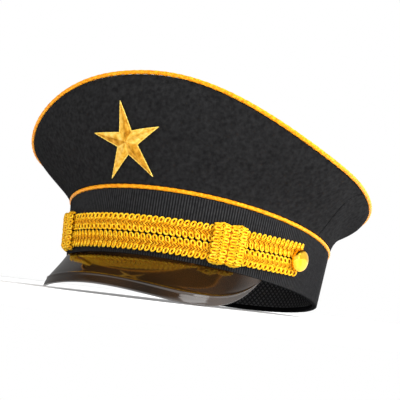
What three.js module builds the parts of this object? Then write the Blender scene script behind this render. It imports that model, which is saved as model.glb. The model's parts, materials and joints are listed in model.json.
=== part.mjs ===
import * as THREE from 'three';
import { mergeVertices } from 'three/addons/utils/BufferGeometryUtils.js';

// A peaked captain hat: a stiff ribbed band, a flared crown that sweeps up at the front,
// a short glossy visor, a two-row gold braid strap with slides and buttons, and a star.
// Lengths are millimetres. The hat is drawn on its own axis, rim at z = 0, front towards -Y,
// and is then tipped back until it rests on the visor's edge and the rear of the rim.

// Band, at its outer face
const rimLength = 199.6;
const rimWidth = 170.4;
const bandTopLength = 201.4;
const bandTopWidth = 180.6;
const bandTopLead = 3.5;
const bandHeight = 37;
const bandLean = 2.5;
const bandThickness = 1.6;

// Crown, beyond the top of the band
const crownSideReach = 26.6;
const crownFrontReach = 23.6;
const crownRearReach = 20;
const crownFrontRise = 62.2;
const crownSideRise = 31.8;
const crownRearRise = 32.4;
const crownWidestLead = 22.5;
const crownThickness = 1.5;
const topPuff = 5;
const rearFullness = 3.4;
const seamLowAngle = -7.5;
const seamHighAngle = 2.8;

// Trims and lining
const pipingDiameter = 2.6;
const pipingSink = 0.4;
const bindingHeight = 3.4;
const bindingThickness = 1.3;
const liningThickness = 1;
const liningTopDrop = 2;

// Visor, measured out from the rim and down from it
const visorHalfAngle = 57;
const visorReach = 22;
const visorDrop = 22.2;
const visorThickness = 1.2;
const visorFlange = 1.3;
const visorCamber = 1.2;
const beadHeight = 0.5;

// Strap, slides and buttons
const rowHeight = 10;
const rowGap = 0.6;
const rowThickness = 2.6;
const rowCorner = 0.9;
const strapLow = 2;
const strapRise = 6;
const strapSweep = 2.2;
const strapEndAngle = 73;
const slideWidth = 20.2;
const slideOverhang = 2.2;
const slideThickness = 2.8;
const slideCorner = 1.2;
const buttonDiameter = 14;
const buttonHeight = 4.5;
const buttonFoot = 1.1;
const buttonAngle = 71;

// Star
const starRadius = 24.1;
const starInnerShare = 0.29;
const starLift = 25.6;
const starTurn = 5.2;
const starEdge = 0.8;
const starRelief = 1.4;

// Clearance that touching pieces keep
const gap = 0.3;

// Where each slide sits, in degrees round the rim from the front, the wearer's left positive
const slides = [
  { name: 'slide_left', angle: 40 },
  { name: 'slide_right', angle: -35.5 },
];

// How steeply the crown wall leaves the band and meets the top, in degrees out from upright
const wallTilt = {
  front: { start: 25, end: -4 },
  side: { start: 36, end: 42 },
  rear: { start: 4, end: 60 },
};

// Powers of the crown's outline: plan roundness, and how late the edge climbs to each end
const outline = { round: 0.91, frontSweep: 2.71, rearSweep: 1.61 };

// Powers of the rear panel: how soon behind the seam it is at its fullest, how high the
// fullness hangs, and how the side seam bends on its way up
const rearPanel = { onset: 4.4, hang: 4, seam: 1.8 };

// Powers of the visor's edge across its width
const visorCurve = { reach: 1.27, drop: 1.11, cheek: 2.1 };

// Stations across the visor from root to edge, and the share of the bead's height at each
const visorStations = [
  { share: 0.2, bead: 0 },
  { share: 0.45, bead: 0 },
  { share: 0.7, bead: 0 },
  { share: 0.75, bead: 1 },
  { share: 0.81, bead: 1 },
  { share: 0.86, bead: 0 },
  { share: 1, bead: 0 },
];

// How full the crown's top is near its seam, and how closely its rings crowd there
const puffPower = 6;
const ringPower = 0.6;

// Share of the visor's width that is drawn, just short of its pointed ends
const visorSpan = 0.995;

// Numbers of faces
const roundSteps = 72;
const rearSteps = 34;
const wallSteps = 7;
const topSteps = 5;
const cordSides = 6;
const visorSteps = 40;
const strapSteps = 44;
const starSteps = 4;
const slideSteps = 4;
const domeSteps = 5;
const buttonSteps = 24;
const starCorners = 10;

// How far apart a surface is sampled for its slope, and how close two points are one point
const sampleStep = 1e-3;
const mergeDistance = 1e-3;
const tiny = 1e-9;

// Share across the visor within which its root takes the slope of the sheet beyond it
const rootShare = 0.02;

// Rounds of correction that place a point of the star on the bulging crown
const seekRounds = 8;

const cordRadius = pipingDiameter / 2;
const seat = cordRadius + gap;
const strapHeight = 2 * rowHeight + rowGap;
const fullTurn = 2 * Math.PI;
const frontTurn = -Math.PI / 2;

const black = { color: 0x242426, roughness: 0.9, metalness: 0 };
const cloth = () => new THREE.MeshStandardMaterial(black);
const ribbon = () => new THREE.MeshStandardMaterial({ color: 0x1b1b1d, roughness: 0.85, metalness: 0 });
const mesh = () => new THREE.MeshStandardMaterial({ color: 0x2c2c30, roughness: 0.8, metalness: 0 });
const gloss = () => new THREE.MeshStandardMaterial({ color: 0x17130e, roughness: 0.12, metalness: 0 });
const cord = () => new THREE.MeshStandardMaterial({ color: 0xf39c1c, roughness: 0.5, metalness: 0.1 });
const gimp = () => new THREE.MeshStandardMaterial({ color: 0xf5b324, roughness: 0.4, metalness: 0.3 });
const brass = () => new THREE.MeshStandardMaterial({ color: 0xffc42e, roughness: 0.15, metalness: 1 });
const thread = () => new THREE.MeshStandardMaterial({ color: 0xe0a63a, roughness: 0.45, metalness: 0.2 });

const lerp = THREE.MathUtils.lerp;
const radians = THREE.MathUtils.degToRad;
const fromFront = (degrees) => frontTurn + radians(degrees);

// Outward direction, level with the rim, of the oval with the given half sizes
function ovalNormal(turn, halfWidth, halfLength) {
  return new THREE.Vector3(Math.cos(turn) / halfWidth, Math.sin(turn) / halfLength, 0).normalize();
}

// Point on the band's outer face, share 0 at the rim and 1 at the crown seam, pushed out by offset
function bandPoint(turn, share, offset = 0) {
  const halfWidth = lerp(rimWidth, bandTopWidth, share) / 2;
  const halfLength = lerp(rimLength, bandTopLength, share) / 2;
  const height = share * (bandHeight - bandLean * Math.sin(turn));
  const point = new THREE.Vector3(
    halfWidth * Math.cos(turn),
    halfLength * Math.sin(turn) - share * bandTopLead,
    height,
  );
  return point.addScaledVector(ovalNormal(turn, halfWidth, halfLength), offset);
}

// The same, by height above the rim
function bandAtHeight(turn, height, offset = 0) {
  return bandPoint(turn, height / (bandHeight - bandLean * Math.sin(turn)), offset);
}

const signedPower = (value, power) => Math.sign(value) * Math.abs(value) ** power;

// Seam between the crown's wall and its top
const crownHalfWidth = bandTopWidth / 2 + crownSideReach;
const widestY = -bandTopLead - crownWidestLead;
const crownFrontY = -bandTopLead - bandTopLength / 2 - crownFrontReach;
const crownRearY = -bandTopLead + bandTopLength / 2 + crownRearReach;

function crownEdgeHeight(y) {
  const forward = y < widestY;
  const reach = forward ? widestY - crownFrontY : crownRearY - widestY;
  const rise = forward
    ? bandLean + crownFrontRise - crownSideRise
    : crownRearRise - bandLean - crownSideRise;
  const sweep = (forward ? outline.frontSweep : outline.rearSweep) / outline.round;
  return bandHeight + crownSideRise + rise * (Math.abs(y - widestY) / reach) ** sweep;
}

function crownEdge(turn) {
  const ahead = signedPower(Math.sin(turn), outline.round);
  const y = widestY + ahead * (ahead < 0 ? widestY - crownFrontY : crownRearY - widestY);
  const x = crownHalfWidth * signedPower(Math.cos(turn), outline.round);
  return new THREE.Vector3(x, y, crownEdgeHeight(y));
}

// How much of the rear panel's shape the wall has: 0 up to the widest place, 1 at the back
function rearShare(turn) {
  return 1 - (1 - Math.max(Math.sin(turn), 0)) ** rearPanel.onset;
}

function tiltAt(turn, end) {
  const front = Math.min(Math.sin(turn), 0) ** 2;
  const middle = lerp(wallTilt.side[end], wallTilt.front[end], front);
  return radians(lerp(middle, wallTilt.rear[end], rearShare(turn)));
}

// Crown wall as if drawn taut, a smooth bend from the band's seam at share 0 to the top's at 1
function tautWall(turn, share) {
  const low = bandPoint(turn, 1);
  const high = crownEdge(turn);
  const chord = low.distanceTo(high);
  const out = ovalNormal(turn, bandTopWidth, bandTopLength);
  const slope = (tilt) => out.clone().multiplyScalar(Math.sin(tilt) * chord)
    .setZ(Math.cos(tilt) * chord);
  const square = share * share;
  const cube = square * share;
  return low.multiplyScalar(2 * cube - 3 * square + 1)
    .addScaledVector(slope(tiltAt(turn, 'start')), cube - 2 * square + share)
    .addScaledVector(high, 3 * square - 2 * cube)
    .addScaledVector(slope(tiltAt(turn, 'end')), cube - square);
}

// The wall itself: behind the side seams it is cut full and hangs out over the band
function crownWall(turn, share) {
  const { hang } = rearPanel;
  const most = (hang / (hang + 1)) ** hang / (hang + 1);
  const height = Math.abs(share) ** hang * (1 - share) / most;
  const fullness = rearFullness * rearShare(turn) * height;
  const normal = surfaceNormal(tautWall, turn, share);
  return tautWall(turn, share).addScaledVector(normal, fullness);
}

// Crown top, share 0 at its middle and 1 at its seam; it puffs up just inside the seam
function crownTop(turn, share) {
  const edge = crownEdge(turn);
  const y = lerp(widestY, edge.y, share);
  const puff = topPuff * (1 - share ** puffPower);
  return new THREE.Vector3(edge.x * share, y, crownEdgeHeight(y) + puff);
}

// Unit normal of a surface given as a function of two values
function surfaceNormal(surface, first, second) {
  const step = sampleStep;
  const along = surface(first + step, second).sub(surface(first - step, second));
  const across = surface(first, second + step).sub(surface(first, second - step));
  return along.cross(across).normalize();
}

// A closed body between a front grid and a back grid of points, each rows by columns.
// Wrapped grids join their last row to their first; a pole is a column that is one point.
function closedBody(front, back, wrapped) {
  const rows = front.length;
  const columns = front[0].length;
  const points = [];
  const addGrid = (grid) => grid.map((row) => row.map((point) => points.push(point) - 1));
  const face = addGrid(front);
  const rear = addGrid(back);
  const triangles = [];
  const quad = (a, b, c, d) => triangles.push([a, b, c], [a, c, d]);
  const spans = wrapped ? rows : rows - 1;
  const last = columns - 1;
  for (let row = 0; row < spans; row += 1) {
    const next = (row + 1) % rows;
    for (let column = 0; column < last; column += 1) {
      quad(face[row][column], face[next][column], face[next][column + 1], face[row][column + 1]);
      quad(rear[row][column], rear[row][column + 1], rear[next][column + 1], rear[next][column]);
    }
    quad(rear[row][0], rear[next][0], face[next][0], face[row][0]);
    quad(face[row][last], face[next][last], rear[next][last], rear[row][last]);
  }
  if (!wrapped) {
    for (let column = 0; column < last; column += 1) {
      quad(face[0][column], face[0][column + 1], rear[0][column + 1], rear[0][column]);
      quad(rear[rows - 1][column], rear[rows - 1][column + 1],
        face[rows - 1][column + 1], face[rows - 1][column]);
    }
  }
  return bodyFrom(points, triangles);
}

// Merges points that coincide, drops faces that closed up, and turns the faces outwards
function bodyFrom(points, triangles) {
  const flat = new THREE.BufferGeometry();
  const values = triangles.flatMap((triangle) => triangle.flatMap((i) => points[i].toArray()));
  flat.setAttribute('position', new THREE.Float32BufferAttribute(values, 3));
  const merged = mergeVertices(flat, mergeDistance);
  const index = merged.getIndex().array;
  const place = merged.getAttribute('position');
  const kept = [];
  let volume = 0;
  for (let i = 0; i < index.length; i += 3) {
    const [a, b, c] = [index[i], index[i + 1], index[i + 2]];
    if (a !== b && b !== c && c !== a) {
      kept.push(a, b, c);
      const corner = (k) => new THREE.Vector3().fromBufferAttribute(place, k);
      volume += corner(a).dot(corner(b).cross(corner(c)));
    }
  }
  if (volume < 0) {
    kept.reverse();
  }
  merged.setIndex(kept);
  return merged;
}

// Rows of points for turns between two angles; a full turn leaves out the repeated last row
function turnsBetween(start, end, steps) {
  const whole = Math.abs(end - start - fullTurn) < tiny;
  const count = whole ? steps : steps + 1;
  return Array.from({ length: count }, (_, i) => lerp(start, end, i / steps));
}

const sharesOf = (steps) => Array.from({ length: steps + 1 }, (_, i) => i / steps);
const roundTurns = turnsBetween(frontTurn, frontTurn + fullTurn, roundSteps);

// An upright ring that follows the band, between two offsets and two height functions
function bandRing(outer, inner, low, high) {
  const grid = (offset) => roundTurns.map((turn) => [
    bandAtHeight(turn, low(turn), offset),
    bandAtHeight(turn, high(turn), offset),
  ]);
  return closedBody(grid(outer), grid(inner), true);
}

const bandTop = (turn) => bandHeight - bandLean * Math.sin(turn) - seat;

function bandBody() {
  return bandRing(0, -bandThickness, () => 0, bandTop);
}

function bindingBody() {
  const outer = -bandThickness - gap;
  return bandRing(outer, outer - bindingThickness, () => 0, () => bindingHeight);
}

function liningBody() {
  const outer = -bandThickness - gap;
  const top = (turn) => bandTop(turn) - liningTopDrop;
  return bandRing(outer, outer - liningThickness, () => bindingHeight + gap, top);
}

// Distances back from the crown's upper seam at which the inner faces of wall and top stop,
// so that their edges are mitred where they lean together
function mitre(turn) {
  const edge = crownEdge(turn);
  const wallVector = crownWall(turn, 1 - sampleStep).sub(edge);
  const topVector = crownTop(turn, 1 - sampleStep).sub(edge);
  const wallLength = wallVector.length() / sampleStep;
  const topLength = topVector.length() / sampleStep;
  const angle = wallVector.angleTo(topVector);
  const inner = crownThickness * (1 + Math.cos(angle)) / Math.sin(angle) + gap;
  return {
    wallOuter: 1 - seat / wallLength,
    wallInner: 1 - Math.max(seat, inner) / wallLength,
    topOuter: 1 - seat / topLength,
    topInner: 1 - Math.max(seat, inner) / topLength,
  };
}

// Turn of the slanted side seam on the wearer's left, by its share of the way up the wall
function seamTurn(share) {
  return radians(lerp(seamLowAngle, seamHighAngle, share ** rearPanel.seam));
}

// One panel of the crown wall between two seams, each a turn that changes up the wall
function crownWallBody(start, end, steps) {
  const grid = (depth, stop) => sharesOf(steps).map((round) => (
    sharesOf(wallSteps).map((share) => {
      const turn = lerp(start(share), end(share), round);
      const length = bandPoint(turn, 1).distanceTo(crownEdge(turn));
      const along = lerp(seat / length, mitre(turn)[stop], share);
      const normal = surfaceNormal(crownWall, turn, along);
      return crownWall(turn, along).addScaledVector(normal, -depth);
    })));
  return closedBody(grid(0, 'wallOuter'), grid(crownThickness, 'wallInner'), false);
}

function crownTopBody() {
  const grid = (depth, stop) => roundTurns.map((turn) => {
    const edge = mitre(turn)[stop];
    return sharesOf(topSteps).map((share) => {
      const along = edge * share ** ringPower;
      const normal = along === 0
        ? new THREE.Vector3(0, 0, 1)
        : surfaceNormal(crownTop, turn, along).multiplyScalar(-1);
      return crownTop(turn, along).addScaledVector(normal, -depth);
    });
  });
  return closedBody(grid(0, 'topOuter'), grid(crownThickness, 'topInner'), true);
}

// A closed loop of cord along a seam
class SeamCurve extends THREE.Curve {
  constructor(seam) {
    super();
    this.seam = seam;
  }

  getPoint(t, target = new THREE.Vector3()) {
    return target.copy(this.seam(frontTurn + t * fullTurn));
  }
}

function pipingBody(seam) {
  const tube = new THREE.TubeGeometry(new SeamCurve(seam), roundSteps, cordRadius, cordSides, true);
  tube.deleteAttribute('normal');
  tube.deleteAttribute('uv');
  return mergeVertices(tube, mergeDistance);
}

// Visor: a flange under the front of the band, then a sheet that slopes out and down
function visorSurface(across, share) {
  const turn = fromFront(across * visorHalfAngle);
  const inside = Math.max(1 - across * across, 0);
  const cheek = 1 + visorCurve.cheek * across * across;
  const reach = gap + visorReach * inside ** visorCurve.reach;
  const drop = visorDrop * inside ** visorCurve.drop * cheek;
  const bulge = visorCamber * inside * Math.sin(Math.PI * share);
  const rise = share * drop - bulge;
  return bandPoint(turn, 0, gap + share * reach + bulge).setZ(-gap - rise);
}

function visorBody() {
  const stations = [{ share: 0, bead: 0 }, ...visorStations];
  const acrossValues = Array.from({ length: visorSteps + 1 }, (_, i) => {
    const spread = (2 * i) / visorSteps - 1;
    return visorSpan * Math.sin((spread * Math.PI) / 2);
  });
  const grid = (depth) => acrossValues.map((across) => {
    const turn = fromFront(across * visorHalfAngle);
    const flange = bandPoint(turn, 0, -visorFlange).setZ(-gap - depth);
    const sheet = stations.map(({ share, bead }) => {
      const normal = surfaceNormal(visorSurface, across, Math.min(share + rootShare, 1));
      if (normal.z < 0) {
        normal.multiplyScalar(-1);
      }
      const lift = depth > 0 ? -depth : bead * beadHeight;
      return visorSurface(across, share).addScaledVector(normal, lift);
    });
    return [flange, ...sheet];
  });
  return closedBody(grid(0), grid(visorThickness), false);
}

// Height of the strap's middle above the rim, which climbs towards the buttons
function strapMiddle(turn) {
  const share = Math.abs(turn - frontTurn) / radians(strapEndAngle);
  return strapLow + strapHeight / 2 + strapRise * share ** strapSweep;
}

// One braid row: a flat bundle with rounded edges, bent round the band
function rowBody(side) {
  const turns = turnsBetween(fromFront(-strapEndAngle), fromFront(strapEndAngle), strapSteps);
  const corner = rowCorner;
  const half = rowHeight / 2;
  const profile = [
    { out: gap, up: -half + corner },
    { out: gap, up: half - corner },
    { out: gap + corner, up: half },
    { out: gap + rowThickness - corner, up: half },
    { out: gap + rowThickness, up: half - corner },
    { out: gap + rowThickness, up: -half + corner },
    { out: gap + rowThickness - corner, up: -half },
    { out: gap + corner, up: -half },
  ];
  const shift = side * (rowHeight + rowGap) / 2;
  return sweptBody(turns, profile, (turn) => strapMiddle(turn) + shift);
}

// A profile of points, out from the band and up from a middle height, swept along turns
function sweptBody(turns, profile, middle) {
  const points = [];
  const rings = turns.map((turn) => profile.map(({ out, up }) => (
    points.push(bandAtHeight(turn, middle(turn) + up, out)) - 1)));
  const triangles = [];
  const sides = profile.length;
  for (let ring = 0; ring < rings.length - 1; ring += 1) {
    for (let side = 0; side < sides; side += 1) {
      const next = (side + 1) % sides;
      const [a, b] = [rings[ring][side], rings[ring][next]];
      const [c, d] = [rings[ring + 1][next], rings[ring + 1][side]];
      triangles.push([a, b, c], [a, c, d]);
    }
  }
  const flatProfile = profile.map(({ out, up }) => new THREE.Vector2(out, up));
  const cap = THREE.ShapeUtils.triangulateShape(flatProfile, []);
  const clockwise = THREE.ShapeUtils.isClockWise(flatProfile);
  const first = rings[0];
  const final = rings[rings.length - 1];
  for (const [i, j, k] of cap) {
    const [p, q, r] = clockwise ? [i, k, j] : [i, j, k];
    triangles.push([first[p], first[r], first[q]], [final[p], final[q], final[r]]);
  }
  return bodyFrom(points, triangles);
}

// A slide: a channel of braid that wraps over the front, top and bottom of the strap
function slideBody(angle) {
  const inner = strapHeight / 2 + gap;
  const outer = inner + slideOverhang;
  const cavity = gap + rowThickness + gap;
  const face = cavity + slideThickness;
  const halfAngle = slideWidth / 2 / ((rimWidth + rimLength) / 4 + face);
  const middleTurn = fromFront(angle);
  const turns = turnsBetween(middleTurn - halfAngle, middleTurn + halfAngle, slideSteps);
  const corner = slideCorner;
  const profile = [
    { out: gap, up: -outer },
    { out: gap, up: -inner },
    { out: cavity, up: -inner },
    { out: cavity, up: inner },
    { out: gap, up: inner },
    { out: gap, up: outer },
    { out: face - corner, up: outer },
    { out: face, up: outer - corner },
    { out: face, up: -outer + corner },
    { out: face - corner, up: -outer },
  ];
  return sweptBody(turns, profile, strapMiddle);
}

// A domed button with a rolled foot; its flat back faces the strap
function buttonBody() {
  const radius = buttonDiameter / 2;
  const foot = buttonFoot;
  const profile = [new THREE.Vector2(0, 0), new THREE.Vector2(radius - foot / 2, 0)];
  profile.push(new THREE.Vector2(radius, foot / 2), new THREE.Vector2(radius, foot));
  for (let i = 1; i <= domeSteps; i += 1) {
    const bend = (i / domeSteps) * (Math.PI / 2);
    const dome = (buttonHeight - foot) * Math.sin(bend);
    profile.push(new THREE.Vector2(i === domeSteps ? 0 : radius * Math.cos(bend), foot + dome));
  }
  const lathe = new THREE.LatheGeometry(profile, buttonSteps);
  lathe.deleteAttribute('normal');
  lathe.deleteAttribute('uv');
  const points = [];
  const place = lathe.getAttribute('position');
  for (let i = 0; i < place.count; i += 1) {
    points.push(new THREE.Vector3().fromBufferAttribute(place, i));
  }
  const index = lathe.getIndex().array;
  const triangles = [];
  for (let i = 0; i < index.length; i += 3) {
    triangles.push([index[i], index[i + 1], index[i + 2]]);
  }
  return bodyFrom(points, triangles);
}

function placeButton(button, angle) {
  const turn = fromFront(angle);
  const share = strapMiddle(turn) / (bandHeight - bandLean * Math.sin(turn));
  const out = surfaceNormal((a, b) => bandPoint(a, b), turn, share);
  const seatOffset = gap + rowThickness + gap;
  button.position.copy(bandPoint(turn, share)).addScaledVector(out, seatOffset);
  button.quaternion.setFromUnitVectors(new THREE.Vector3(0, 1, 0), out);
  return button;
}

// A point on the front of the crown, right and up from the star's middle, and its normal
function onCrownFront(right, up) {
  const chord = bandPoint(frontTurn, 1).distanceTo(crownEdge(frontTurn));
  const share = (starLift + up) / chord;
  let turn = frontTurn;
  for (let i = 0; i < seekRounds; i += 1) {
    const before = crownWall(turn - sampleStep, share);
    const after = crownWall(turn + sampleStep, share);
    const slope = (after.x - before.x) / (2 * sampleStep);
    turn += (right - crownWall(turn, share).x) / slope;
  }
  return { point: crownWall(turn, share), normal: surfaceNormal(crownWall, turn, share) };
}

// The star: ten facets that meet in ridges at its middle, bent to the crown
function starBody() {
  const corners = Array.from({ length: starCorners }, (_, i) => {
    const reach = i % 2 === 0 ? starRadius : starRadius * starInnerShare;
    const bearing = Math.PI / 2 + radians(starTurn) - (i * fullTurn) / starCorners;
    return new THREE.Vector2(reach * Math.cos(bearing), reach * Math.sin(bearing));
  });
  const middle = new THREE.Vector2(0, 0);
  const points = [];
  const triangles = [];
  const addPoint = (flat, lift) => {
    const { point, normal } = onCrownFront(flat.x, flat.y);
    return points.push(point.addScaledVector(normal, lift)) - 1;
  };
  corners.forEach((corner, i) => {
    const next = corners[(i + 1) % corners.length];
    const layers = [gap, gap + starEdge].map((base, layer) => (
      Array.from({ length: starSteps + 1 }, (_, row) => (
        Array.from({ length: row + 1 }, (__, column) => {
          const rim = row === 0 ? corner : corner.clone().lerp(next, column / row);
          const flat = middle.clone().lerp(rim, row / starSteps);
          const relief = layer * starRelief * (1 - row / starSteps);
          return addPoint(flat, base + relief);
        })))));
    layers.forEach((rows, layer) => {
      for (let row = 1; row <= starSteps; row += 1) {
        for (let column = 0; column < row; column += 1) {
          const up = [rows[row - 1][column], rows[row][column], rows[row][column + 1]];
          triangles.push(layer ? up : up.reverse());
          if (column < row - 1) {
            const down = [rows[row - 1][column], rows[row][column + 1], rows[row - 1][column + 1]];
            triangles.push(layer ? down : down.reverse());
          }
        }
      }
    });
    const [low, high] = layers.map((rows) => rows[starSteps]);
    for (let column = 0; column < starSteps; column += 1) {
      triangles.push([low[column], low[column + 1], high[column + 1]]);
      triangles.push([low[column], high[column + 1], high[column]]);
    }
  });
  return bodyFrom(points, triangles);
}

const hat = new THREE.Group();

function addPiece(name, geometry, material) {
  const piece = new THREE.Mesh(geometry, material);
  piece.name = name;
  hat.add(piece);
  return piece;
}

const seamGap = gap / (bandTopWidth / 2);
const leftSeam = (share) => seamTurn(share);
const rightSeam = (share) => Math.PI - seamTurn(share);
const frontStart = (share) => rightSeam(share) - fullTurn;
const rearStart = (share) => leftSeam(share) + seamGap;
const rearEnd = (share) => rightSeam(share) - seamGap;

addPiece('band', bandBody(), ribbon());
addPiece('rim_binding', bindingBody(), ribbon());
addPiece('mesh_lining', liningBody(), mesh());
addPiece('crown_front', crownWallBody(frontStart, leftSeam, roundSteps - rearSteps), cloth());
addPiece('crown_rear', crownWallBody(rearStart, rearEnd, rearSteps), cloth());
addPiece('crown_top', crownTopBody(), cloth());
addPiece('band_piping', pipingBody((turn) => bandPoint(turn, 1, -pipingSink)), cord());
addPiece('crown_piping', pipingBody(crownEdge), cord());
addPiece('visor', visorBody(), gloss());
addPiece('braid_lower', rowBody(-1), gimp());
addPiece('braid_upper', rowBody(1), gimp());
for (const { name, angle } of slides) {
  addPiece(name, slideBody(angle), gimp());
}
placeButton(addPiece('button_left', buttonBody(), brass()), buttonAngle);
placeButton(addPiece('button_right', buttonBody(), brass()), -buttonAngle);
addPiece('star', starBody(), thread());

// Tip the hat back about the rear of its rim until the visor's edge meets the ground
function restTilt() {
  const place = hat.getObjectByName('visor').geometry.getAttribute('position');
  let tilt = 0;
  for (let i = 0; i < place.count; i += 1) {
    tilt = Math.max(tilt, Math.atan2(-place.getZ(i), rimLength / 2 - place.getY(i)));
  }
  return tilt;
}

hat.rotation.x = -restTilt();
hat.updateMatrixWorld(true);
const box = new THREE.Box3().setFromObject(hat, true);
const middle = box.getCenter(new THREE.Vector3());
hat.position.set(-middle.x, -middle.y, -box.min.z);

export default hat;
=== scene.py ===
# %% [markdown]
# A peaked captain hat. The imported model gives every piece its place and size, so this lesson
# only dresses it: each plain solid is replaced by a mesh with the real one's cord, cloth and
# braid, and each mesh gets its own finish.

# %% Load the frame
from bisect import bisect_right
import json
import math
import bpy
from mathutils import Matrix, Vector, noise


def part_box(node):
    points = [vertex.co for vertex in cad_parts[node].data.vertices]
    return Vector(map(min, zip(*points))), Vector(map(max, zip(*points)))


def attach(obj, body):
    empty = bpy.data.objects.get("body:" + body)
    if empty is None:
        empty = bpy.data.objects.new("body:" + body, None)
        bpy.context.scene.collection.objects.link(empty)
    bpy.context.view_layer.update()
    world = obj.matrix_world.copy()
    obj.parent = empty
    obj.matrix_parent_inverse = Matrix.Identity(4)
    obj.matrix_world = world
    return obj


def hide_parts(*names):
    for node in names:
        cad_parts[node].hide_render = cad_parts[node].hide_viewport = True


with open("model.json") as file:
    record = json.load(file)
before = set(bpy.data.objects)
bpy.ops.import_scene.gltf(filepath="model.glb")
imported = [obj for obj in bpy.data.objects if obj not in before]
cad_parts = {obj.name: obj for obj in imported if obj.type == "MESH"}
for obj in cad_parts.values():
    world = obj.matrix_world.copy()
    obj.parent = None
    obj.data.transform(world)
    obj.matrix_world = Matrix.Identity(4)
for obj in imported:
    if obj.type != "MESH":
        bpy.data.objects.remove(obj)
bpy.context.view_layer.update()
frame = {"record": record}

# %% [markdown]
# A hat is easiest to draw standing on its own axis, rim level at height 0 and front towards -Y,
# in millimetres. On the table it tips back until the visor touches, so every point is turned by
# that tilt at the end. The tilt comes from the rim's mount and the place from the band's box.

# %% From the hat's axis to the table
MM = 0.001
rim_length = 199.6
rim_width = 170.4

rim_axis = Vector(frame["record"]["mounts"][0]["axis"])
tilt = math.asin(-rim_axis.y)
band_low = Vector(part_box("band")[0]) / MM
seat = Vector((
    0,
    band_low.y + rim_length / 2 * math.cos(tilt),
    band_low.z + rim_length / 2 * math.sin(tilt),
))
tip_back = Matrix.Translation(seat * MM) @ Matrix.Rotation(-tilt, 4, "X") @ Matrix.Scale(MM, 4)
print("tilt", round(math.degrees(tilt), 3), "seat", [round(value, 3) for value in seat])

# %% [markdown]
# The camera comes before the pieces. It looks at the hat from a little below its brim, 27
# degrees round to the wearer's left, leaning by 7 degrees, through a long lens. It stays a few
# millimetres above the floor.

# %% Camera
camera_aim = Vector((-0.0055, 0.0035, 0.0748))
camera_azimuth = math.radians(27.1)
camera_elevation = math.radians(-8.0)
camera_roll = math.radians(6.9)
camera_distance = 0.509
camera_view = math.radians(31.9)

bpy.ops.object.camera_add()
camera = bpy.context.object
camera.name = "portrait_camera"
camera.data.angle = camera_view
towards = Vector((
    math.sin(camera_azimuth) * math.cos(camera_elevation),
    -math.cos(camera_azimuth) * math.cos(camera_elevation),
    math.sin(camera_elevation),
))
lean = Matrix.Rotation(camera_roll, 4, "Z")
facing = towards.to_track_quat("Z", "Y").to_matrix().to_4x4()
camera.matrix_world = Matrix.Translation(camera_aim + towards * camera_distance) @ facing @ lean
bpy.context.scene.camera = camera
print("camera at", [round(value, 4) for value in camera.matrix_world.translation])

# %% [markdown]
# The sizes below are the real hat's, in millimetres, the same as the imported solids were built
# from. The helpers turn them into surfaces: the band, the seam round the crown, the bulging
# crown wall, the puffed top and the visor's sheet.

# %% Sizes of the band and the crown
band_top_length = 201.4
band_top_width = 180.6
band_top_lead = 3.5
band_height = 37
band_lean = 2.5
band_thickness = 1.6
crown_side_reach = 26.6
crown_front_reach = 23.6
crown_rear_reach = 20
crown_front_rise = 62.2
crown_side_rise = 31.8
crown_rear_rise = 32.4
crown_widest_lead = 22.5
crown_thickness = 1.5
top_puff = 5
puff_power = 6
rear_fullness = 3.4
rear_onset = 4.4
rear_hang = 4
piping_diameter = 2.6
gap = 0.3
cord_radius = piping_diameter / 2
cord_seat = cord_radius + gap
wall_tilt = {
    "front": {"start": 25, "end": -4},
    "side": {"start": 36, "end": 42},
    "rear": {"start": 4, "end": 60},
}
plan_round = 0.91
front_sweep = 2.71
rear_sweep = 1.61
full_turn = 2 * math.pi
front_turn = -math.pi / 2
sample_step = 1e-3


def between(low, high, share):
    return low + (high - low) * share


def from_front(degrees):
    return front_turn + math.radians(degrees)


def oval_normal(turn, half_width, half_length):
    return Vector((math.cos(turn) / half_width, math.sin(turn) / half_length, 0)).normalized()


def band_rise(turn):
    return band_height - band_lean * math.sin(turn)


def band_point(turn, share, offset=0.0):
    half_width = between(rim_width, band_top_width, share) / 2
    half_length = between(rim_length, band_top_length, share) / 2
    point = Vector((
        half_width * math.cos(turn),
        half_length * math.sin(turn) - share * band_top_lead,
        share * band_rise(turn),
    ))
    return point + oval_normal(turn, half_width, half_length) * offset


def band_at_height(turn, height, offset=0.0):
    return band_point(turn, height / band_rise(turn), offset)


# %% The crown's edge, wall and top
crown_half_width = band_top_width / 2 + crown_side_reach
widest_y = -band_top_lead - crown_widest_lead
crown_front_y = -band_top_lead - band_top_length / 2 - crown_front_reach
crown_rear_y = -band_top_lead + band_top_length / 2 + crown_rear_reach


def signed_power(value, power):
    return math.copysign(abs(value) ** power, value)


def crown_edge_height(y):
    forward = y < widest_y
    reach = widest_y - crown_front_y if forward else crown_rear_y - widest_y
    front_rise = band_lean + crown_front_rise - crown_side_rise
    rear_rise = crown_rear_rise - band_lean - crown_side_rise
    rise = front_rise if forward else rear_rise
    sweep = (front_sweep if forward else rear_sweep) / plan_round
    return band_height + crown_side_rise + rise * (abs(y - widest_y) / reach) ** sweep


def crown_edge(turn):
    ahead = signed_power(math.sin(turn), plan_round)
    y = widest_y + ahead * (widest_y - crown_front_y if ahead < 0 else crown_rear_y - widest_y)
    x = crown_half_width * signed_power(math.cos(turn), plan_round)
    return Vector((x, y, crown_edge_height(y)))


def rear_share(turn):
    return 1 - (1 - max(math.sin(turn), 0)) ** rear_onset


def tilt_at(turn, end):
    middle = between(wall_tilt["side"][end], wall_tilt["front"][end], min(math.sin(turn), 0) ** 2)
    return math.radians(between(middle, wall_tilt["rear"][end], rear_share(turn)))


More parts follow.
